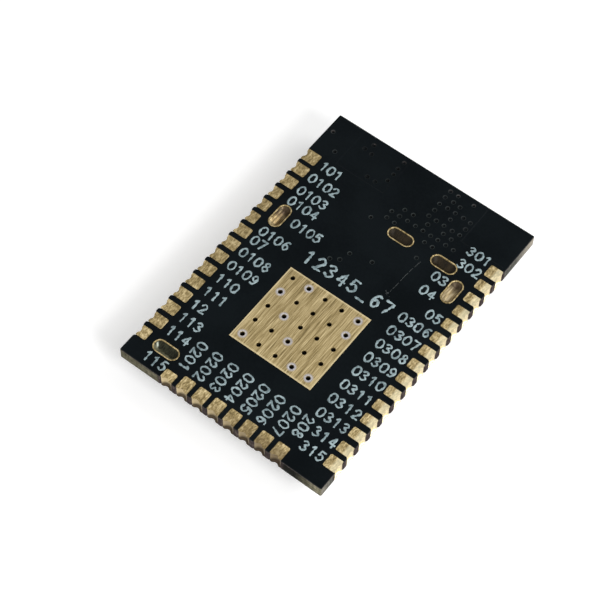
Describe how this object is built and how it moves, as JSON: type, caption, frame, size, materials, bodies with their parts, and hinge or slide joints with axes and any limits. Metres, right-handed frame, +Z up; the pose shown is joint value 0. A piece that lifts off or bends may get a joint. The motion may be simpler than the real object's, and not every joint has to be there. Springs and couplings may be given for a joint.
{
  "type": "radio module",
  "caption": "Small circuit-board radio module with plated half-hole contacts on three edges, a ground pad with vias on the solder side and a folded shield can below.",
  "frame": {"origin": "under the middle of the board, on the surface that the lid of the shield can rests on", "axes": "+X across the board, +Y along it towards the antenna end, +Z up, out of the solder side"},
  "size_m": [0.013, 0.0188, 0.0024],
  "materials": {
    "board": "black solder mask, satin; pale glass laminate at the cut edges",
    "gold_plating": "thin gold over nickel and copper, fine brushed grain",
    "shield_sheet": "tinned sheet, satin",
    "chip_mould": "matt moulding compound",
    "solder": "tin solder, satin",
    "capacitor_ceramic": "brown ceramic, matt",
    "pale_ceramic": "white ceramic, matt",
    "resistor_black": "black glaze, satin",
    "receptacle_insulator": "cream heat-proof plastic, matt",
    "receptacle_metal": "gold flash, bright"
  },
  "bodies": {
    "root": {"antenna_block": "pale_ceramic", "antenna_ends": "solder", "capacitor_1": "capacitor_ceramic", "capacitor_2": "capacitor_ceramic", "capacitor_3": "capacitor_ceramic", "capacitor_4": "capacitor_ceramic", "chip_body": "chip_mould", "chip_lands": "solder", "circuit_board": "board", "contact_end_01": "gold_plating", "contact_end_02": "gold_plating", "contact_end_03": "gold_plating", "contact_end_04": "gold_plating", "contact_end_05": "gold_plating", "contact_end_06": "gold_plating", "contact_end_07": "gold_plating", "contact_end_08": "gold_plating", "contact_left_01": "gold_plating", "contact_left_02": "gold_plating", "contact_left_03": "gold_plating", "contact_left_04": "gold_plating", "contact_left_05": "gold_plating", "contact_left_06": "gold_plating", "contact_left_07": "gold_plating", "contact_left_08": "gold_plating", "contact_left_09": "gold_plating", "contact_left_10": "gold_plating", "contact_left_11": "gold_plating", "contact_left_12": "gold_plating", "contact_left_13": "gold_plating", "contact_left_14": "gold_plating", "contact_left_15": "gold_plating", "contact_right_01": "gold_plating", "contact_right_02": "gold_plating", "contact_right_03": "gold_plating", "contact_right_04": "gold_plating", "contact_right_05": "gold_plating", "contact_right_06": "gold_plating", "contact_right_07": "gold_plating", "contact_right_08": "gold_plating", "contact_right_09": "gold_plating", "contact_right_10": "gold_plating", "contact_right_11": "gold_plating", "contact_right_12": "gold_plating", "contact_right_13": "gold_plating", "contact_right_14": "gold_plating", "contact_right_15": "gold_plating", "ground_pad": "gold_plating", "inductor": "pale_ceramic", "receptacle_base": "receptacle_insulator", "receptacle_pin": "receptacle_metal", "receptacle_shell": "receptacle_metal", "resistor": "resistor_black", "shield_can": "shield_sheet", "slot_lining_antenna_end_1": "gold_plating", "slot_lining_antenna_end_2": "gold_plating", "slot_lining_far_end": "gold_plating", "slot_lining_left": "gold_plating", "slot_lining_right": "gold_plating"}
  },
  "joints": []
}
